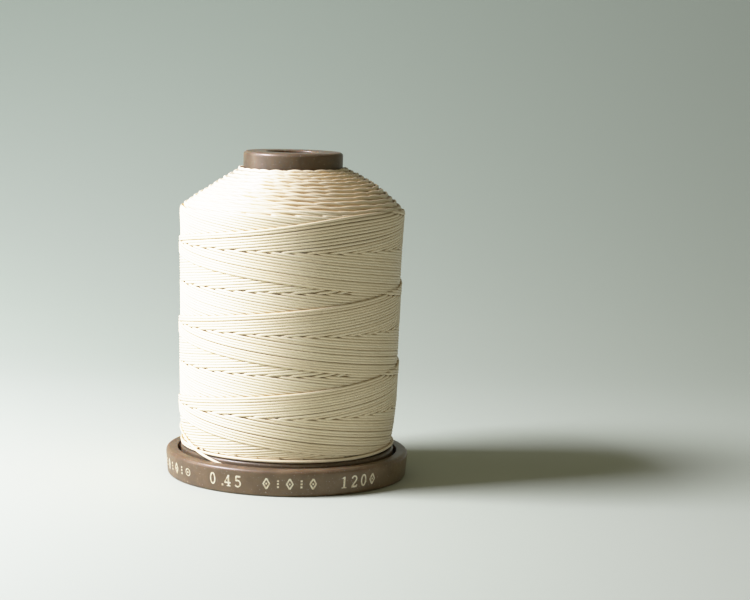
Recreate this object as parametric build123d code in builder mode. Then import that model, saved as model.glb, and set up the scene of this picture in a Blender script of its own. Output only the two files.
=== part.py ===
import os
from math import cos, radians, sin, tan

from build123d import *

os.makedirs("parts", exist_ok=True)

# Waxed-thread spool with a snap base. All lengths in millimetres.
# Origin: centre of the face the base stands on. +Z points up the spool's axis.
# Drawn with the snap closed. The core, the winding and its loose end slide up
# together out of the base by `snap_travel` to open the thread lock.

# ---- thread
thread_diameter = 0.45

# ---- snap base
base_radius = 20.0
base_foot_radius = 19.70
base_foot_edge = 0.45
band_taper_top = 3.28
rim_top = 4.27
rim_inner_radius = 18.15
rim_outer_edge = 0.65
rim_inner_edge = 0.12
floor_top = 2.30
floor_underside = 1.10
foot_ring_inner_radius = 18.30
pin_hole_radius = 4.35
hub_outer_radius = 6.95
hub_inner_radius = 5.75
hub_top = 12.60
hub_slot_width = 1.6
hub_slot_length = 16.8
hub_slot_bottom = 4.2
slot_overcut = 0.02
barb_radius = 7.40
barb_bottom = 11.10
barb_land = 0.60
finger_tip_radius = 6.70
rib_count = 6
rib_width = 1.0
rib_bottom = 0.35
rib_inner_radius = 5.75
rib_overlap = 0.30

# ---- core: tube and foot disc in one moulding
tube_outer_radius = 8.13
tube_bore_radius = 7.03
tube_top = 53.27
tube_edge = 0.60
top_web = 1.50
top_hole_radius = 4.35
top_hole_edge = 0.25
disc_top = 4.87
disc_underside = 3.75
disc_radius = 17.62
disc_edge = 0.45
seat_outer_radius = 9.20
catch_groove_radius = 7.50
catch_groove_slack = 0.30
snap_travel = 3.0

# ---- winding (outside of the wound thread)
wind_profile = [
    (17.15, 5.20),
    (17.45, 6.60),
    (17.75, 9.00),
    (17.98, 12.0),
    (18.10, 20.0),
    (18.18, 30.0),
    (18.35, 40.0),
    (18.42, 43.2),
]
wind_shoulder = (17.55, 44.95)
wind_cone_top = (9.30, 50.62)
wind_neck = (8.13, 50.85)

# ---- loose end of the thread, as (radius, angle in degrees, height): it leaves the
# winding, drops over the rim into the dish and lies round the dish under the foot disc
tail_points = [
    (17.66, 205.5, 6.20),
    (17.82, 212.0, 5.66),
    (18.08, 218.5, 5.23),
    (18.14, 225.5, 4.72),
    (17.90, 232.5, 4.10),
    (17.84, 239.0, 3.66),
    (17.66, 247.0, 3.34),
    (17.45, 256.0, 3.18),
    (17.42, 270.0, 3.18),
    (17.38, 284.0, 3.17),
    (17.25, 298.0, 3.14),
    (17.15, 312.0, 3.08),
    (17.16, 326.0, 3.01),
    (17.24, 340.0, 2.94),
    (17.28, 354.0, 2.90),
    (17.19, 368.0, 2.88),
    (17.06, 382.0, 2.88),
    (17.00, 396.0, 2.88),
    (17.05, 410.0, 2.88),
    (17.13, 424.0, 2.85),
    (17.12, 438.0, 2.80),
    (17.00, 452.0, 2.73),
]
bend_share = 0.45


def ring_edges(part, radius, z):
    return [
        e for e in part.edges().filter_by(GeomType.CIRCLE)
        if abs(e.radius - radius) < 1e-3 and abs(e.center().Z - z) < 1e-3
    ]


# ---------------------------------------------------------------- snap base
with BuildPart() as snap_base:
    # dish, rim and hub as one turned section
    with BuildSketch(Plane.XZ):
        with BuildLine():
            Polyline(
                (pin_hole_radius, floor_underside),
                (foot_ring_inner_radius, floor_underside),
                (foot_ring_inner_radius, 0),
                (base_foot_radius, 0),
                (base_radius, band_taper_top),
                (base_radius, rim_top),
                (rim_inner_radius, rim_top),
                (rim_inner_radius, floor_top),
                (hub_outer_radius, floor_top),
                (hub_outer_radius, barb_bottom),
                (barb_radius, barb_bottom),
                (barb_radius, barb_bottom + barb_land),
                (finger_tip_radius, hub_top),
                (hub_inner_radius, hub_top),
                (hub_inner_radius, floor_top),
                (pin_hole_radius, floor_top),
                close=True,
            )
        make_face()
    revolve(axis=Axis.Z)
    fillet(ring_edges(snap_base, base_foot_radius, 0), base_foot_edge)
    fillet(ring_edges(snap_base, base_radius, rim_top), rim_outer_edge)
    fillet(ring_edges(snap_base, rim_inner_radius, rim_top), rim_inner_edge)
    # four slots make the hub's top into four latch fingers
    with Locations((0, 0, (hub_slot_bottom + hub_top) / 2)):
        with PolarLocations(0, 2, start_angle=45):
            Box(hub_slot_length, hub_slot_width,
                hub_top - hub_slot_bottom + slot_overcut, mode=Mode.SUBTRACT)
    # stiffening ribs under the floor, inside the foot ring
    with PolarLocations(0, rib_count, start_angle=30):
        with Locations(((rib_inner_radius + foot_ring_inner_radius + rib_overlap) / 2, 0,
                        (rib_bottom + floor_underside) / 2)):
            Box(foot_ring_inner_radius - rib_inner_radius + rib_overlap, rib_width,
                floor_underside - rib_bottom)
snap_base.part.label = "snap_base"
export_step(snap_base.part, "parts/snap_base.step")

# ---------------------------------------------------------------- core
groove_bottom = barb_bottom - snap_travel
groove_top = hub_top + catch_groove_slack
with BuildPart() as core:
    with BuildSketch(Plane.XZ):
        with BuildLine():
            Polyline(
                (tube_bore_radius, floor_top),
                (seat_outer_radius, floor_top),
                (seat_outer_radius, disc_underside),
                (disc_radius, disc_underside),
                (disc_radius, disc_top),
                (tube_outer_radius, disc_top),
                (tube_outer_radius, tube_top),
                (top_hole_radius, tube_top),
                (top_hole_radius, tube_top - top_web),
                (tube_bore_radius, tube_top - top_web),
                (tube_bore_radius, groove_top),
                (catch_groove_radius, groove_top),
                (catch_groove_radius, groove_bottom),
                (tube_bore_radius, groove_bottom),
                close=True,
            )
        make_face()
    revolve(axis=Axis.Z)
    fillet(ring_edges(core, disc_radius, disc_top), disc_edge)
    fillet(ring_edges(core, tube_outer_radius, tube_top), tube_edge)
    fillet(ring_edges(core, top_hole_radius, tube_top), top_hole_edge)
core.part.label = "core"
export_step(core.part, "parts/core.step")

# ---------------------------------------------------------------- winding
with BuildPart() as thread_package:
    with BuildSketch(Plane.XZ):
        with BuildLine():
            low = (16.75, disc_top)
            l1 = Line((tube_outer_radius, disc_top), low)
            l2 = Line(low, wind_profile[0])
            l3 = Spline(*wind_profile)
            l4 = Spline(wind_profile[-1], wind_shoulder,
                        tangents=[(0.05, 1.0),
                                  (wind_cone_top[0] - wind_shoulder[0],
                                   wind_cone_top[1] - wind_shoulder[1])])
            l5 = Line(wind_shoulder, wind_cone_top)
            l6 = Line(wind_cone_top, wind_neck)
            l7 = Line(wind_neck, (tube_outer_radius, disc_top))
        make_face()
    revolve(axis=Axis.Z)
thread_package.part.label = "thread_package"
export_step(thread_package.part, "parts/thread_package.step")


# ---------------------------------------------------------------- loose end
def polar(radius, angle, height):
    a = radians(angle)
    return Vector(radius * cos(a), radius * sin(a), height)


points = [polar(*p) for p in tail_points]

# each corner of the route is rounded as widely as its two neighbours allow
bends = []
for before, here, after in zip(points, points[1:], points[2:]):
    arriving = here - before
    leaving = after - here
    turn = radians(arriving.get_angle(leaving))
    bends.append(bend_share * min(arriving.length, leaving.length) / tan(turn / 2))

with BuildPart() as thread_tail:
    with BuildLine() as lay:
        FilletPolyline(*points, radius=bends)
    wire = lay.wires()[0]
    with BuildSketch(Plane(origin=wire @ 0, z_dir=wire % 0)):
        Circle(thread_diameter / 2)
    sweep(path=wire)
thread_tail.part.label = "thread_tail"
export_step(thread_tail.part, "parts/thread_tail.step")
print("tail length", round(wire.length, 2), "volume", round(thread_tail.part.volume, 3))
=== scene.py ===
"""Waxed-thread spool with a snap base: looks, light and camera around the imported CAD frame."""
import math
import random

import bpy
import numpy as np
from mathutils import Matrix, Vector


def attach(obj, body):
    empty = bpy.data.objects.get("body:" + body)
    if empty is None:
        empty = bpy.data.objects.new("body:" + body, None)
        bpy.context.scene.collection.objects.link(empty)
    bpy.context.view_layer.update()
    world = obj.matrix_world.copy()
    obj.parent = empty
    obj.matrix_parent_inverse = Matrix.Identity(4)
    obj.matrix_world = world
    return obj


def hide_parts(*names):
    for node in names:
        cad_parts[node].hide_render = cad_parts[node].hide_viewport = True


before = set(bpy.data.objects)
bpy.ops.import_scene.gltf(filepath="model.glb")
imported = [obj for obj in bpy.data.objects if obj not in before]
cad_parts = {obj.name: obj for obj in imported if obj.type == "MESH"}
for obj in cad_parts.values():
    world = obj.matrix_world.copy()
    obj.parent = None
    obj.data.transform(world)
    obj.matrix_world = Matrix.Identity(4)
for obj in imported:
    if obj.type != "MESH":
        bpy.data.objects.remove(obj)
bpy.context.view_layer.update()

# Lengths are in millimetres up to the stage, where they are in metres. Angles are in degrees.
MM = 0.001
TURN = 360.0
SEED = 7


# ---------------------------------------------------------------- camera
CAMERA_PLACE = (0.0, -325.0, 68.755)
CAMERA_YAW, CAMERA_PITCH, CAMERA_ROLL = -0.04298, 0.12137, 0.02675  # radians
SENSOR_WIDTH, LENS = 36.0, 95.1744


def make_camera():
    """Stands in front of the axis, a little above the spool, tilted down and rolled slightly."""
    data = bpy.data.cameras.new("camera")
    data.sensor_width = SENSOR_WIDTH
    data.lens = LENS
    data.clip_start = 0.01
    data.clip_end = 10.0
    camera = bpy.data.objects.new("camera", data)
    bpy.context.collection.objects.link(camera)
    turn = (Matrix.Rotation(CAMERA_YAW, 4, "Z")
            @ Matrix.Rotation(math.pi / 2 - CAMERA_PITCH, 4, "X")
            @ Matrix.Rotation(CAMERA_ROLL, 4, "Z"))
    camera.matrix_world = Matrix.Translation(Vector(CAMERA_PLACE) * MM) @ turn
    bpy.context.scene.camera = camera


make_camera()


# ---------------------------------------------------------------- node helpers
def new_material(name):
    mat = bpy.data.materials.new(name)
    mat.use_nodes = True
    nodes = mat.node_tree.nodes
    return mat, nodes, mat.node_tree.links, nodes["Principled BSDF"]


def ramp(nodes, stops):
    node = nodes.new("ShaderNodeValToRGB")
    while len(node.color_ramp.elements) < len(stops):
        node.color_ramp.elements.new(0.5)
    for element, (place, colour) in zip(node.color_ramp.elements, stops):
        element.position = place
        element.color = (*colour, 1.0)
    return node


def set_inputs(node, values):
    for name, value in values.items():
        node.inputs[name].default_value = value


def noise(nodes, links, place, scale, detail, rough):
    """Noise output in object space; scale is in waves per metre."""
    node = nodes.new("ShaderNodeTexNoise")
    set_inputs(node, {"Scale": scale, "Detail": detail, "Roughness": rough})
    links.new(place, node.inputs["Vector"])
    return node.outputs["Fac"]


def roughen(nodes, links, shader, value, low, high):
    """Drives the roughness from low to high as the value goes from 0 to 1."""
    node = nodes.new("ShaderNodeMapRange")
    set_inputs(node, {"To Min": low, "To Max": high})
    links.new(value, node.inputs["Value"])
    links.new(node.outputs[0], shader.inputs["Roughness"])


def raise_bumps(nodes, links, shader, value, strength, depth):
    node = nodes.new("ShaderNodeBump")
    set_inputs(node, {"Strength": strength, "Distance": depth * MM})
    links.new(value, node.inputs["Height"])
    links.new(node.outputs["Normal"], shader.inputs["Normal"])


def blend_colours(nodes, links, amount, below, above):
    """Covers the colour output `below` with the plain colour `above` by the amount."""
    node = nodes.new("ShaderNodeMix")
    node.data_type = "RGBA"
    node.inputs["B"].default_value = (*above, 1.0)
    links.new(amount, node.inputs["Factor"])
    links.new(below, node.inputs["A"])
    return node.outputs["Result"]


# ---------------------------------------------------------------- materials
def plastic_material(name, dark, light):
    """Satin moulded brown plastic: cloudy tone, fine orange peel, a few pale specks of dust."""
    mat, nodes, links, shader = new_material(name)
    place = nodes.new("ShaderNodeTexCoord").outputs["Object"]
    cloud = noise(nodes, links, place, scale=330.0, detail=4.0, rough=0.6)
    tint = ramp(nodes, [(0.32, dark), (0.70, light)])
    links.new(cloud, tint.inputs["Fac"])
    dust = noise(nodes, links, place, scale=5200.0, detail=1.0, rough=0.4)
    speck = ramp(nodes, [(0.715, (0.0, 0.0, 0.0)), (0.760, (1.0, 1.0, 1.0))])
    links.new(dust, speck.inputs["Fac"])
    dusty = blend_colours(nodes, links, speck.outputs["Color"], tint.outputs["Color"],
                          (0.42, 0.38, 0.31))
    links.new(dusty, shader.inputs["Base Color"])
    fine = noise(nodes, links, place, scale=1500.0, detail=4.0, rough=0.6)
    roughen(nodes, links, shader, fine, low=0.38, high=0.58)
    raise_bumps(nodes, links, shader, fine, strength=0.08, depth=0.02)
    set_inputs(shader, {
        "IOR": 1.52,
        "Specular IOR Level": 0.60,
        "Specular Tint": (1.0, 0.90, 0.76, 1.0),
        "Coat Weight": 0.20,
        "Coat Roughness": 0.24,
        "Subsurface Weight": 0.60,
        "Subsurface Radius": (1.0, 0.42, 0.16),
        "Subsurface Scale": 1.4 * MM,
    })
    return mat


def thread_material():
    """Cream waxed thread: each turn a shade of its own, with a painted honey-brown shade on the flanks
    where turns touch.
    """
    mat, nodes, links, shader = new_material("waxed_thread")
    tone = nodes.new("ShaderNodeAttribute")
    tone.attribute_name = "tone"
    crease_shade = nodes.new("ShaderNodeAttribute")
    crease_shade.attribute_name = "crease_shade"
    place = nodes.new("ShaderNodeTexCoord").outputs["Object"]
    cloud = noise(nodes, links, place, scale=420.0, detail=2.0, rough=0.5)
    cloud_share = 0.45
    shade = nodes.new("ShaderNodeMath")
    shade.operation = "MULTIPLY_ADD"
    shade.inputs[1].default_value = cloud_share
    links.new(cloud, shade.inputs[0])
    links.new(tone.outputs["Fac"], shade.inputs[2])
    tint = ramp(nodes, [(0.12, (0.880, 0.748, 0.510)), (0.55, (0.940, 0.822, 0.580)),
                        (1.00, (0.955, 0.863, 0.640))])
    links.new(shade.outputs[0], tint.inputs["Fac"])
    # painted shade: honey brown covers the thread's colour on the flanks and in the grooves between
    # turns
    crease_shaded_colour = blend_colours(nodes, links, crease_shade.outputs["Fac"], tint.outputs["Color"],
                          (0.46, 0.30, 0.115))
    links.new(crease_shaded_colour, shader.inputs["Base Color"])
    fine = noise(nodes, links, place, scale=3800.0, detail=3.0, rough=0.6)
    roughen(nodes, links, shader, fine, low=0.36, high=0.56)
    raise_bumps(nodes, links, shader, fine, strength=0.25, depth=0.02)
    set_inputs(shader, {"IOR": 1.48, "Sheen Weight": 0.08, "Sheen Roughness": 0.4})
    return mat


def foil_material():
    """Hot-stamped champagne foil, thin in places."""
    mat, nodes, links, shader = new_material("champagne_foil")
    place = nodes.new("ShaderNodeTexCoord").outputs["Object"]
    wear = noise(nodes, links, place, scale=1900.0, detail=3.0, rough=0.6)
    tint = ramp(nodes, [(0.30, (0.52, 0.38, 0.19)), (0.52, (0.80, 0.72, 0.52)),
                        (0.80, (0.88, 0.82, 0.66))])
    links.new(wear, tint.inputs["Fac"])
    links.new(tint.outputs["Color"], shader.inputs["Base Color"])
    shader.inputs["Metallic"].default_value = 0.25
    roughen(nodes, links, shader, wear, low=0.30, high=0.55)
    raise_bumps(nodes, links, shader, wear, strength=0.2, depth=0.01)
    return mat


# The core is a little darker than the base: the key light stands near, and lights the top more.
PLASTIC = {
    "snap_base": plastic_material("brown_plastic", (0.120, 0.077, 0.038), (0.186, 0.123, 0.063)),
    "core": plastic_material("brown_plastic_core", (0.098, 0.066, 0.034), (0.154, 0.106, 0.057)),
}
THREAD = thread_material()
FOIL = foil_material()


# ---------------------------------------------------------------- mesh helpers
TUBE_SIDES = 8
# painted shade: a honey-brown colour grows from the crown of a tube down its flanks, more where the
# tube is given extra painted shade
FLANK, FLANK_POWER = 0.9, 1.5
BASE_FLANK_SHADE, EXTRA_FLANK_SHADE = 1.2, 5.0


def place_mesh(name, mesh, material):
    mesh.materials.append(material)
    piece = bpy.data.objects.new(name, mesh)
    bpy.context.collection.objects.link(piece)
    return piece


def shade_smooth(mesh):
    mesh.polygons.foreach_set("use_smooth", [True] * len(mesh.polygons))


def point_values(mesh, name, values):
    """Stores one number per point, for the material to read."""
    layer = mesh.attributes.new(name, "FLOAT", "POINT")
    layer.data.foreach_set("value", np.asarray(values, np.float32))


class TubeMesh:
    """Collects closed tubes of thread and turns them into one mesh."""

    def __init__(self):
        self.verts, self.faces, self.tones, self.crease_shades = [], [], [], []
        self.count = 0

    def add(self, path, outward, half_out, half_side, tone, painted_shade=0.0):
        """Adds an elliptical tube along path, a row of points; outward points away from the spool.

        tone picks the turn's shade. The last argument is how much more painted shade than usual its
        flanks and back get.
        """
        points, sides = len(path), TUBE_SIDES
        along = np.gradient(path, axis=0)
        along /= np.linalg.norm(along, axis=1)[:, None]
        out = outward - (outward * along).sum(1)[:, None] * along
        out /= np.linalg.norm(out, axis=1)[:, None]
        side = np.cross(along, out)
        around_it = 2 * np.pi * np.arange(sides) / sides
        ring = (path[:, None, :] + half_out * np.cos(around_it)[None, :, None] * out[:, None, :]
                + (half_side * np.ones(points))[:, None, None]
                * np.sin(around_it)[None, :, None] * side[:, None, :])
        row = np.arange(points - 1)[:, None] * sides
        here = np.arange(sides)[None, :]
        following = (here + 1) % sides
        quads = np.stack([row + here, row + following, row + sides + following,
                          row + sides + here], -1).reshape(-1, 4)
        self.verts.append(ring.reshape(-1, 3))
        self.faces.extend((quads + self.count).tolist())
        first = list(range(self.count, self.count + sides))
        last = list(range(self.count + (points - 1) * sides, self.count + points * sides))
        self.faces.append(first[::-1])
        self.faces.append(last)
        # painted shade for the flanks and back of the tube, one value per point
        deep = ((1 - np.cos(around_it)) * FLANK) ** FLANK_POWER
        flank_shade = (BASE_FLANK_SHADE + EXTRA_FLANK_SHADE * painted_shade * np.ones(points))[:, None] * deep[None, :]
        self.crease_shades.append(np.clip(flank_shade, 0, 1).ravel())
        self.tones.append(np.full(points * sides, tone))
        self.count += points * sides

    def build(self, name, material):
        mesh = bpy.data.meshes.new(name)
        mesh.from_pydata((np.concatenate(self.verts) * MM).tolist(), [], self.faces)
        shade_smooth(mesh)
        point_values(mesh, "tone", np.concatenate(self.tones))
        point_values(mesh, "crease_shade", np.concatenate(self.crease_shades))
        return place_mesh(name, mesh, material)


def rings_mesh(name, profile, material, painted_shade, steps=180):
    """A closed ring about Z whose section is the (radius, height) points, each with its amount of
    painted shade.
    """
    verts, faces = [], []
    for radius, height in profile:
        for step in range(steps):
            angle = 2 * math.pi * step / steps
            verts.append((radius * math.cos(angle) * MM, radius * math.sin(angle) * MM,
                          height * MM))
    rows = len(profile)
    for row in range(rows):
        above = (row + 1) % rows
        for step in range(steps):
            following = (step + 1) % steps
            faces.append((row * steps + step, row * steps + following,
                          above * steps + following, above * steps + step))
    mesh = bpy.data.meshes.new(name)
    mesh.from_pydata(verts, [], faces)
    shade_smooth(mesh)
    point_values(mesh, "crease_shade", np.repeat(painted_shade, steps))
    return place_mesh(name, mesh, material)


# ---------------------------------------------------------------- loose end of the thread
THREAD_D = 0.45
# The same points as the CAD tube: radius, angle in degrees, height.
TAIL_POINTS = [
    (17.66, 205.5, 6.20),
    (17.82, 212.0, 5.66),
    (18.08, 218.5, 5.23),
    (18.14, 225.5, 4.72),
    (17.90, 232.5, 4.10),
    (17.84, 239.0, 3.66),
    (17.66, 247.0, 3.34),
    (17.45, 256.0, 3.18),
    (17.42, 270.0, 3.18),
    (17.38, 284.0, 3.17),
    (17.25, 298.0, 3.14),
    (17.15, 312.0, 3.08),
    (17.16, 326.0, 3.01),
    (17.24, 340.0, 2.94),
    (17.28, 354.0, 2.90),
    (17.19, 368.0, 2.88),
    (17.06, 382.0, 2.88),
    (17.00, 396.0, 2.88),
    (17.05, 410.0, 2.88),
    (17.13, 424.0, 2.85),
    (17.12, 438.0, 2.80),
    (17.00, 452.0, 2.73),
]


def make_tail():
    """Leaves the winding, drops over the rim and runs round the dish under the foot disc."""
    points = [(radius * math.cos(math.radians(angle)) * MM,
               radius * math.sin(math.radians(angle)) * MM, height * MM)
              for radius, angle, height in TAIL_POINTS]
    curve = bpy.data.curves.new("loose_end", "CURVE")
    curve.dimensions = "3D"
    curve.bevel_depth = THREAD_D / 2 * MM
    curve.bevel_resolution = 4
    curve.use_fill_caps = True
    spline = curve.splines.new("NURBS")
    spline.points.add(len(points) - 1)
    for point, place in zip(spline.points, points):
        point.co = (*place, 1.0)
    spline.order_u = 3
    spline.use_endpoint_u = True
    spline.resolution_u = 10
    curve.materials.append(THREAD)
    piece = bpy.data.objects.new("loose_end", curve)
    bpy.context.collection.objects.link(piece)
    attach(piece, "spool")
    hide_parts("thread_tail")


make_tail()


# ---------------------------------------------------------------- the winding
# The last layer laid on the spool is thirty strokes up and thirty down. Each stroke climbs about
# three turns, turns round at the shoulder and comes down; the next one lands beside it, 12 degrees
# back. Of two threads that cross, the one laid later lies on top.
STROKES = 30
STROKES_PER_PIECE = 5
TURNS_UP = 3
PITCH = 13.15
ALONG_STEP = 2.0
WRAP_ANGLE = 327.0
WRAP_HEIGHT = 31.20
TOP_CROSS = WRAP_HEIGHT + PITCH
TOP_ROUND = 9.0
LOW_ROUND = 30.0
SWITCH_ANGLE = 90.0

# how much higher the newest strokes lie than the oldest
CLIMB_STEP, FALL_STEP = 0.28, 0.08
# how far a thread sinks under the ones that cross it, and how suddenly
UNDER = 0.42
SHARP = 60.0
# how many strokes newer than a falling thread a climbing one must be, to lie on top of it; the
# falling thread counts as old below this phase
LEAD_OVER_OLD, LEAD_OVER_NEW = 3.5, 2.5
OLD_PHASE = 0.4
# the share of its width that a thread loses where it changes from over to under
PINCH = 0.60

# the flattened thread, its closest spacing, and each stroke's share of the space that is left
# over, which is larger after the strokes in the wide lists
HALF_OUT, HALF_SIDE = 0.222, 0.262
SNUG = 0.416
SNUG_SHARE, WIDE_SHARE = (0.0, 0.12), (0.6, 1.4)
WIDE_CLIMBING = (1, 5, 7, 9, 13, 18, 23, 27)
WIDE_FALLING = (3, 6, 8, 12, 16, 21, 25, 28)
PALEST_TONE = 0.55

# the newest strokes turn a little higher on one side, and all of them run lower near the foot
NEW_STROKES = 9
CREST_RISE, CREST_ANGLE, CREST_WIDTH = 0.76, -28.0, 33.0
FOOT_SAG, FOOT_SAG_BELOW, FOOT_SAG_DEPTH = 0.80, 11.9, 6.4
HEIGHT_DRIFT, RADIUS_DRIFT = 0.02, 0.008
DRIFT_WAVES, DRIFT_STRENGTH, DRIFT_START = (0.6, 1.3, 2.9), (0.4, 1.0), (0, 6.3)
DRIFT_DIVISOR = 1.5

# the lowest turns
LAST_TURN = 608.0
FOOT_R, FOOT_Z = 17.40, 5.22
LANDING, SECOND_LANDING = 20.0, 25.0

# the newest turn, on its way to the loose end: radius, angle, height
LEAD_IN = [(16.95, 128.0, 9.75), (17.35, 140.0, 9.30), (17.62, 154.0, 8.75), (17.68, 168.0, 8.17),
           (17.64, 180.0, 7.65), (17.56, 190.0, 7.18), (17.50, 199.0, 6.71)]
LEAD_IN_ROUNDS = 3
LEAD_IN_TONE = 0.3

# the outside of the winding: height, radius
WIND_PROFILE = [(5.0, 17.15), (6.6, 17.45), (9.0, 17.75), (12.0, 17.98), (20.0, 18.10),
                (30.0, 18.18), (40.0, 18.32), (43.0, 18.44), (43.8, 18.40), (44.3, 18.15),
                (44.8, 17.75)]

# the shoulder; it leans, so that one side of each row stands higher and prouder. ROW_SHIFT is a
# share of the gap between strokes
ROWS = 12
LAST_ROW_OF_PIECE = (3, 7, ROWS - 1)
LOWEST_ROW, HIGHEST_ROW = (17.70, 44.50), (8.95, 50.28)
LEAN_ANGLE = 345.0
ROW_REACH = 34.0
ROW_SWELL_OUT, ROW_SWELL_UP, ROW_RISE = 0.30, 0.55, 0.05
SWELL_LOW, SWELL_SPAN, SWELL_HIGH = 0.1, 0.9, 0.35
ROW_HALF_OUT, ROW_HALF_SIDE = 0.24, 0.31
ROW_SLOPE = 0.048
ROW_BEND = (5.0, 11.0)
ROW_SHIFT, ROW_HEIGHT_SPREAD, ROW_RADIUS_SPREAD, ROW_DRIFT = 0.22, 0.08, 0.03, 0.04
OVERLAP_ANGLE, OVERLAP, LEANING_OVERLAP = 14.0, 0.03, 0.08
# painted shade on the shoulder rows' flanks: less than usual overall, more on the leaning side, away
# from the key light
ROW_SHADE, LEANING_SHADE = -0.22, 0.24

# the thread under the last layer
FILL_DEPTH = 0.95
FILL_HEIGHTS = (5.3, 6.6, 9, 12, 20, 30, 40, 43.2)
FILL_FOOT = [(8.2, 5.0), (15.9, 5.0)]
FILL_CONE = [(17.24, 44.75), (8.74, 50.40)]
# painted shade on the inner thread, which shows through the gaps of the last layer; none on its part
# under the shoulder
DEEP_SHADE, CONE_SHADE = 0.25, 0.0


def part_of_winding(piece):
    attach(piece, "spool")
    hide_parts("thread_package")


def wind_radius(height):
    heights, radii = zip(*WIND_PROFILE)
    return np.interp(height, heights, radii)


def smooth(x):
    """0 below -1, 1 above 1."""
    share = np.clip((x + 1) / 2, 0, 1)
    return share * share * (3 - 2 * share)


def phases(angle, height):
    """How recently a climbing and a falling thread were laid here: 1 is the last one, 0 the oldest."""
    climb = (height - WRAP_HEIGHT) / PITCH
    turn = (angle - WRAP_ANGLE) / TURN
    return np.mod(climb - turn, 1.0), np.mod(-climb - turn, 1.0)


def on_top(mine, other, lead):
    """1 where a thread lies over the crossing ones, 0 where it lies under them."""
    return (smooth((mine - other - lead) * SHARP) * smooth(other * SHARP)
            + smooth((other - 1) * SHARP))


def stepped(phase):
    """The phase with its jump from 1 to 0 smoothed over a thread's width."""
    return phase - smooth((phase - 1) * SHARP) + 1 - smooth(phase * SHARP)


def wander(rng, angle, size):
    """A slow seeded drift along a thread."""
    drift = np.zeros_like(angle)
    for wave in DRIFT_WAVES:
        strength = rng.uniform(*DRIFT_STRENGTH)
        start = rng.uniform(*DRIFT_START)
        drift += strength * np.sin(angle * wave * math.pi / 180 + start)
    return drift * size / DRIFT_DIVISOR


def polar(radius, angle, height):
    """The points of a path, and the directions that lead away from the axis there."""
    turned = np.radians(angle)
    path = np.stack([radius * np.cos(turned), radius * np.sin(turned), height], 1)
    out = np.stack([np.cos(turned), np.sin(turned), np.zeros_like(turned)], 1)
    return path, out


def stroke_ages(wide_after):
    """Age of each stroke, newest first: snug, with a wider gap after a few of them."""
    rng = random.Random(SEED)
    shares = [rng.uniform(*SNUG_SHARE) for _ in range(STROKES)]
    for stroke in wide_after:
        shares[stroke] = rng.uniform(*WIDE_SHARE)
    free = PITCH / STROKES - SNUG
    scale = free * STROKES / sum(shares)
    reached, ages = 0.0, []
    for share in shares:
        ages.append(reached + 0.5 * SNUG / PITCH)
        reached += (SNUG + share * scale) / PITCH
    return ages


def stroke_height(rng, stroke, turned, far, angle):
    """Height along a stroke: an even pitch, rounded at both ends, with its small irregularities."""
    drop = np.sqrt(turned ** 2 + TOP_ROUND ** 2)
    lift = np.sqrt(far ** 2 + LOW_ROUND ** 2) - far
    height = TOP_CROSS - PITCH / TURN * (drop - lift)
    newness = max(0.0, 1 - stroke / NEW_STROKES)
    from_crest = (angle - WRAP_ANGLE - CREST_ANGLE) / CREST_WIDTH
    height = height + newness * CREST_RISE * np.exp(-from_crest ** 2)
    sag = np.clip((FOOT_SAG_BELOW - height) / FOOT_SAG_DEPTH, 0, None)
    height = height - FOOT_SAG * sag ** 2
    return height + wander(rng, turned / 3, HEIGHT_DRIFT)


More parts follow.
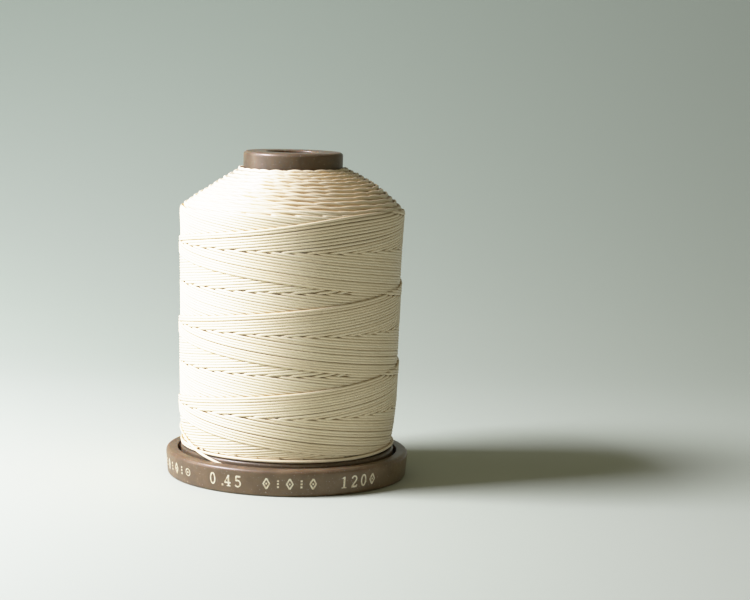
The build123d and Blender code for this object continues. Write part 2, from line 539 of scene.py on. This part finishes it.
def make_strokes():
    rng = random.Random(SEED)
    climbing_ages = stroke_ages(WIDE_CLIMBING)
    falling_ages = stroke_ages(WIDE_FALLING)
    middle = [(a + b) / 2 for a, b in zip(climbing_ages, falling_ages)]
    even = 1.0 / STROKES
    middle = [middle[0] - even] + middle + [middle[-1] + even]
    for first in range(0, STROKES, STROKES_PER_PIECE):
        mesh = TubeMesh()
        for stroke in range(first, first + STROKES_PER_PIECE):
            mine = 1 - (stroke + 0.5) / STROKES
            begins = (middle[stroke + 1] + middle[stroke + 2]) / 2
            ends = (middle[stroke + 1] + middle[stroke]) / 2
            start = (TURNS_UP - begins + climbing_ages[stroke]) * TURN
            end = (TURNS_UP + ends - falling_ages[stroke]) * TURN
            # degrees turned since the stroke's top, negative on the way up
            turned = np.append(np.arange(-start, end, ALONG_STEP), end)
            share = smooth(turned / SWITCH_ANGLE)
            age = climbing_ages[stroke] + (falling_ages[stroke] - climbing_ages[stroke]) * share
            angle = WRAP_ANGLE + age * TURN + turned
            climbing = turned < 0
            far = np.where(climbing, start + turned, end - turned)
            height = stroke_height(rng, stroke, turned, far, angle)
            up, down = phases(angle, height)
            lead = np.where(down < OLD_PHASE, LEAD_OVER_OLD, LEAD_OVER_NEW) / STROKES
            other = np.where(climbing, down, up)
            own_step = np.where(climbing, CLIMB_STEP, FALL_STEP)
            other_step = np.where(climbing, FALL_STEP, CLIMB_STEP)
            lead_of = np.where(climbing, lead, -lead)
            weight = on_top(mine, other, lead_of)
            radius = (wind_radius(height) + own_step * (mine - 0.5)
                      + other_step * (stepped(other) - 0.5) - HALF_OUT - (1 - weight) * UNDER
                      + wander(rng, turned, RADIUS_DRIFT))
            if stroke == 0:
                # the newest stroke goes on round the foot, to end under the loose end
                extra = np.arange(0.0, LAST_TURN + 1.0, ALONG_STEP)[1:]
                lay = FOOT_Z + SNUG * smooth((extra - TURN) / SECOND_LANDING)
                blend = smooth(extra / LANDING - 1)
                foot_height = height[-1] + (lay - height[-1]) * blend
                proud = FOOT_R + (wind_radius(foot_height) - wind_radius(FOOT_Z))
                angle = np.append(angle, angle[-1] + extra)
                height = np.append(height, foot_height)
                radius = np.append(radius, radius[-1] + (proud - radius[-1]) * blend)
                other = np.append(other, np.zeros(len(blend)))
                lead_of = np.append(lead_of, np.zeros(len(blend)))
            # where a thread changes from over to under it is pinched, and its flanks get extra painted
            # shade
            turnover = smooth((mine - other - lead_of) * SHARP)
            crossing = 4 * turnover * (1 - turnover)
            path, out = polar(radius, angle, height)
            mesh.add(path, out, HALF_OUT, HALF_SIDE * (1 - PINCH * crossing),
                     rng.uniform(0.0, PALEST_TONE), crossing)
        number = first // STROKES_PER_PIECE + 1
        part_of_winding(mesh.build("winding_strokes_%d" % number, THREAD))


def make_lead_in():
    """The newest turn comes down over the others to the point where the loose end leaves."""
    points = np.array(LEAD_IN + TAIL_POINTS[:1])
    for _ in range(LEAD_IN_ROUNDS):
        cut = np.stack([0.75 * points[:-1] + 0.25 * points[1:],
                        0.25 * points[:-1] + 0.75 * points[1:]], 1).reshape(-1, 3)
        points = np.vstack([points[:1], cut, points[-1:]])
    mesh = TubeMesh()
    path, out = polar(points[:, 0], points[:, 1], points[:, 2])
    mesh.add(path, out, THREAD_D / 2, THREAD_D / 2, LEAD_IN_TONE)
    part_of_winding(mesh.build("winding_end", THREAD))


def make_cone():
    """Each inner layer stops a little higher and further in, so the shoulder is its turning points."""
    rng = random.Random(SEED + 1)
    gap = TURN / STROKES
    mesh = TubeMesh()
    piece = 1
    for row in range(ROWS):
        share = row / (ROWS - 1)
        swell = (math.sin(math.pi * min(share * SWELL_SPAN + SWELL_LOW, 1.0))
                 + SWELL_HIGH * share)
        start = rng.uniform(0, TURN)
        turned = np.arange(-ROW_REACH, ROW_REACH + ALONG_STEP / 2, ALONG_STEP)
        for stroke in range(STROKES):
            centre = start - stroke * gap + rng.uniform(-ROW_SHIFT, ROW_SHIFT) * gap
            angle = centre + turned
            lean = (1 + np.cos(np.radians(angle - LEAN_ANGLE))) / 2
            row_radius = (LOWEST_ROW[0] + (HIGHEST_ROW[0] - LOWEST_ROW[0]) * share
                          + ROW_SWELL_OUT * swell * lean)
            row_height = (LOWEST_ROW[1] + (HIGHEST_ROW[1] - LOWEST_ROW[1]) * share
                          + (ROW_RISE + ROW_SWELL_UP * lean) * swell)
            peak = row_height + rng.uniform(-ROW_HEIGHT_SPREAD, ROW_HEIGHT_SPREAD)
            bend = rng.uniform(*ROW_BEND)
            height = peak - ROW_SLOPE * (np.sqrt(turned ** 2 + bend ** 2) - bend)
            lay = np.clip(turned / OVERLAP_ANGLE, -1, 1)
            radius = (row_radius - HALF_OUT + (OVERLAP + LEANING_OVERLAP * lean) * lay
                      + rng.uniform(-ROW_RADIUS_SPREAD, ROW_RADIUS_SPREAD))
            path, out = polar(radius, angle, height + wander(rng, turned * 4, ROW_DRIFT))
            # each shoulder row gets its painted shade, more on the leaning side
            mesh.add(path, out, ROW_HALF_OUT, ROW_HALF_SIDE, rng.uniform(0.0, PALEST_TONE),
                     ROW_SHADE + LEANING_SHADE * lean)
        if row in LAST_ROW_OF_PIECE:
            part_of_winding(mesh.build("winding_shoulder_%d" % piece, THREAD))
            mesh = TubeMesh()
            piece += 1


def make_fill():
    """The thread under the last layer."""
    side = [(float(wind_radius(height)) - FILL_DEPTH, height) for height in FILL_HEIGHTS]
    inside = FILL_FOOT + side
    painted_shade = [DEEP_SHADE] * len(inside) + [CONE_SHADE] * len(FILL_CONE)
    part_of_winding(rings_mesh("winding_inner", inside + FILL_CONE, THREAD, painted_shade))


make_strokes()
make_lead_in()
make_cone()
make_fill()


# ---------------------------------------------------------------- foil print on the base
# A plain size, a count and ornaments, drawn on a grid one wide and two high with three pens.
THICK, MIDDLE, THIN = 0.27, 0.22, 0.14


def bow(centre_x, centre_y, half_wide, half_tall, start, end, steps=14):
    """An arc of an ellipse as a polyline, counter-clockwise."""
    angles = [math.radians(start + (end - start) * i / steps) for i in range(steps + 1)]
    return [(centre_x + half_wide * math.cos(angle), centre_y + half_tall * math.sin(angle))
            for angle in angles]


def foot(x, y, half):
    """The short cross line that a figure stands on."""
    return (THIN, [(x - half, y), (x + half, y)])


GLYPHS = {
    "0": [(MIDDLE, bow(0.5, 1.0, 0.32, 0.90, 0, 360, 28))],
    "1": [(THICK, [(0.5, 0.06), (0.5, 1.94)]), (THIN, [(0.22, 1.66), (0.5, 1.88)]),
          foot(0.5, 0.06, 0.32)],
    "2": [(MIDDLE, bow(0.5, 1.42, 0.32, 0.48, 170, -40) + [(0.18, 0.12)]),
          (THICK, [(0.12, 0.12), (0.88, 0.12)]), (THIN, [(0.84, 0.10), (0.90, 0.42)])],
    "4": [(THICK, [(0.66, 0.06), (0.66, 1.92)]), (THIN, [(0.66, 1.90), (0.10, 0.60)]),
          (MIDDLE, [(0.08, 0.60), (0.94, 0.60)]), foot(0.66, 0.06, 0.26)],
    "5": [(MIDDLE, [(0.24, 1.04), (0.28, 1.86)]), (THICK, [(0.26, 1.82), (0.84, 1.82)]),
          (MIDDLE, bow(0.46, 0.62, 0.36, 0.54, 130, -150))],
    ".": [(0.28, [(0.38, 0.14), (0.62, 0.14)])],
    "lozenge": [(MIDDLE, [(0.5, 1.90), (0.12, 1.0), (0.5, 0.10)]),
                (MIDDLE, [(0.5, 1.90), (0.88, 1.0), (0.5, 0.10)]),
                (THICK, [(0.40, 1.0), (0.60, 1.0)])],
    "dots": [(THICK, [(0.38, 1.52), (0.62, 1.52)]), (THICK, [(0.38, 1.0), (0.62, 1.0)]),
             (THICK, [(0.38, 0.48), (0.62, 0.48)])],
    "ring": [(THIN, bow(0.5, 1.0, 0.42, 0.58, 0, 360, 28)), (THICK, [(0.38, 1.0), (0.62, 1.0)])],
}
# each group's first angle, and its signs
PRINT = (
    (183.6, ("lozenge", "dots", "lozenge", "dots", "lozenge", "dots", "ring")),
    (232.2, ("0", ".", "4", "5")),
    (259.0, ("lozenge", "dots", "lozenge", "dots", "lozenge")),
    (295.5, ("1", "2", "0", "lozenge")),
)
BAND_R, BAND_FOOT_R, TAPER_TOP = 20.0, 19.70, 3.28
GLYPH_LOW, GLYPH_HIGH = 1.17, 3.08
GLYPH_WIDE, GLYPH_STEP = 1.32, 1.86
POINT_STEP = 0.5
FEW_POINTS = 10
FOIL_SUNK, FOIL_PROUD = 0.02, 0.02


def pen_strip(points, pen):
    """Left and right edges of a pen line through the points."""
    centre = np.array(points, float)
    way = np.gradient(centre, axis=0)
    way /= np.linalg.norm(way, axis=1)[:, None]
    side = np.stack([-way[:, 1], way[:, 0]], 1) * pen / 2
    return centre + side, centre - side


def finer(points, steps=4):
    """The same line with more points, so that it bends round the band."""
    out = []
    for (x0, y0), (x1, y1) in zip(points, points[1:]):
        out += [(x0 + (x1 - x0) * i / steps, y0 + (y1 - y0) * i / steps) for i in range(steps)]
    return out + [points[-1]]


def stamp(verts, faces, at_angle, lines):
    """Adds one sign as thin plates that follow the band: each pen line is a closed box."""
    tall = (GLYPH_HIGH - GLYPH_LOW) / 2
    for pen, points in lines:
        if len(points) < FEW_POINTS:
            points = finer(points)
        scaled = [(x * GLYPH_WIDE, y * tall) for x, y in points]
        left, right = pen_strip(scaled, pen * (GLYPH_WIDE + tall) / 2)
        base = len(verts)
        for ends in zip(left, right):
            for x, y in ends:
                angle = math.radians(at_angle) + x / BAND_R
                height = GLYPH_LOW + y
                face = BAND_FOOT_R + (BAND_R - BAND_FOOT_R) * min(height / TAPER_TOP, 1.0)
                for radius in (face - FOIL_SUNK, face + FOIL_PROUD):
                    verts.append((radius * math.cos(angle) * MM,
                                  radius * math.sin(angle) * MM, height * MM))
        for i in range(len(points) - 1):
            here, there = base + 4 * i, base + 4 * (i + 1)
            faces.extend([(here + 1, here + 3, there + 3, there + 1),
                          (here, there, there + 2, here + 2),
                          (here, here + 1, there + 1, there),
                          (here + 2, there + 2, there + 3, here + 3)])
        last = base + 4 * (len(points) - 1)
        faces.extend([(base, base + 2, base + 3, base + 1),
                      (last, last + 1, last + 3, last + 2)])


def make_print():
    verts, faces = [], []
    step = math.degrees(GLYPH_STEP / BAND_R)
    for angle, signs in PRINT:
        for sign in signs:
            stamp(verts, faces, angle, GLYPHS[sign])
            angle += step * (POINT_STEP if sign == "." else 1.0)
    mesh = bpy.data.meshes.new("foil_print")
    mesh.from_pydata(verts, [], faces)
    piece = place_mesh("foil_print", mesh, FOIL)
    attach(piece, "base")


make_print()


# ---------------------------------------------------------------- carried-over CAD nodes
for node, plastic in PLASTIC.items():
    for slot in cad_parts[node].material_slots:
        slot.link = "OBJECT"
        slot.material = plastic


# ---------------------------------------------------------------- stage and light, in metres
SWEEP_HALF_WIDTH, SWEEP_FRONT, SWEEP_BEND = 1.2, -0.8, 0.10
SWEEP_RADIUS, SWEEP_HEIGHT, SWEEP_STEPS = 0.32, 0.9, 24


def make_stage():
    """A pale seamless sweep: flat under the spool, curving up behind it."""
    profile = [(SWEEP_FRONT, 0.0), (SWEEP_BEND, 0.0)]
    for i in range(1, SWEEP_STEPS + 1):
        angle = math.pi / 2 * i / SWEEP_STEPS
        profile.append((SWEEP_BEND + SWEEP_RADIUS * math.sin(angle),
                        SWEEP_RADIUS * (1 - math.cos(angle))))
    profile.append((SWEEP_BEND + SWEEP_RADIUS, SWEEP_HEIGHT))
    verts = []
    for y, z in profile:
        verts += [(-SWEEP_HALF_WIDTH, y, z), (SWEEP_HALF_WIDTH, y, z)]
    faces = [(2 * i, 2 * i + 1, 2 * i + 3, 2 * i + 2) for i in range(len(profile) - 1)]
    mesh = bpy.data.meshes.new("sweep")
    mesh.from_pydata(verts, [], faces)
    shade_smooth(mesh)
    mat, nodes, links, shader = new_material("sweep_paper")
    place = nodes.new("ShaderNodeTexCoord").outputs["Object"]
    split = nodes.new("ShaderNodeSeparateXYZ")
    links.new(place, split.inputs[0])
    depth = nodes.new("ShaderNodeMapRange")
    set_inputs(depth, {"From Min": 0.0, "From Max": 1.0})
    links.new(split.outputs["Y"], depth.inputs["Value"])
    # painted shade: the paper's colour darkens towards the back wall, mostly in red and blue
    tint = ramp(nodes, [(0.0, (0.508, 0.526, 0.418)), (0.15, (0.499, 0.533, 0.424)),
                        (0.42, (0.440, 0.505, 0.412))])
    links.new(depth.outputs[0], tint.inputs["Fac"])
    links.new(tint.outputs["Color"], shader.inputs["Base Color"])
    set_inputs(shader, {"Roughness": 0.85, "Specular IOR Level": 0.2})
    place_mesh("sweep", mesh, mat)


def area_light(name, place, target, size, power, colour):
    data = bpy.data.lights.new(name, "AREA")
    data.shape = "RECTANGLE"
    data.size, data.size_y = size
    data.energy = power
    data.color = colour
    lamp = bpy.data.objects.new(name, data)
    bpy.context.collection.objects.link(lamp)
    lamp.location = place
    way = Vector(target) - Vector(place)
    lamp.rotation_mode = "QUATERNION"
    lamp.rotation_quaternion = way.to_track_quat("-Z", "Y")


def around(azimuth, elevation, reach):
    """A place on a sphere about the origin; azimuth 0 is along +X."""
    turn, rise = math.radians(azimuth), math.radians(elevation)
    return (reach * math.cos(rise) * math.cos(turn), reach * math.cos(rise) * math.sin(turn),
            reach * math.sin(rise))


def make_light():
    """A soft key high on the left, a dim low card on the left and an even surround."""
    area_light("key", around(azimuth=192.8, elevation=44.5, reach=0.306), target=(0, 0, 0.02),
               size=(0.12, 0.09), power=1.84, colour=(0.975, 1.0, 1.24))
    area_light("card", around(azimuth=182.0, elevation=12.0, reach=0.36), target=(0, 0, 0.025),
               size=(0.22, 0.10), power=0.42, colour=(0.99, 1.0, 1.12))
    world = bpy.data.worlds.new("world")
    world.use_nodes = True
    set_inputs(world.node_tree.nodes["Background"],
               {"Color": (1.04, 0.975, 0.72, 1.0), "Strength": 0.19})
    bpy.context.scene.world = world


BRIGHTEST = 2.4
TONE_CURVE = ((0.25, 0.25), (0.60, 0.59), (0.90, 0.80), (1.25, 0.925), (1.70, 0.975))


def soft_highlights(view):
    """Rolls the brightest tones off gently, as a camera does, in place of a hard clip."""
    view.use_curve_mapping = True
    mapping = view.curve_mapping
    mapping.white_level = (BRIGHTEST, BRIGHTEST, BRIGHTEST)
    all_channels = mapping.curves[3]
    all_channels.points[1].location = (1.0, 1.0)
    for bright, shown in TONE_CURVE:
        all_channels.points.new(bright / BRIGHTEST, shown)
    mapping.update()


make_stage()
make_light()
view = bpy.context.scene.view_settings
view.view_transform = "Standard"
view.look = "None"
soft_highlights(view)
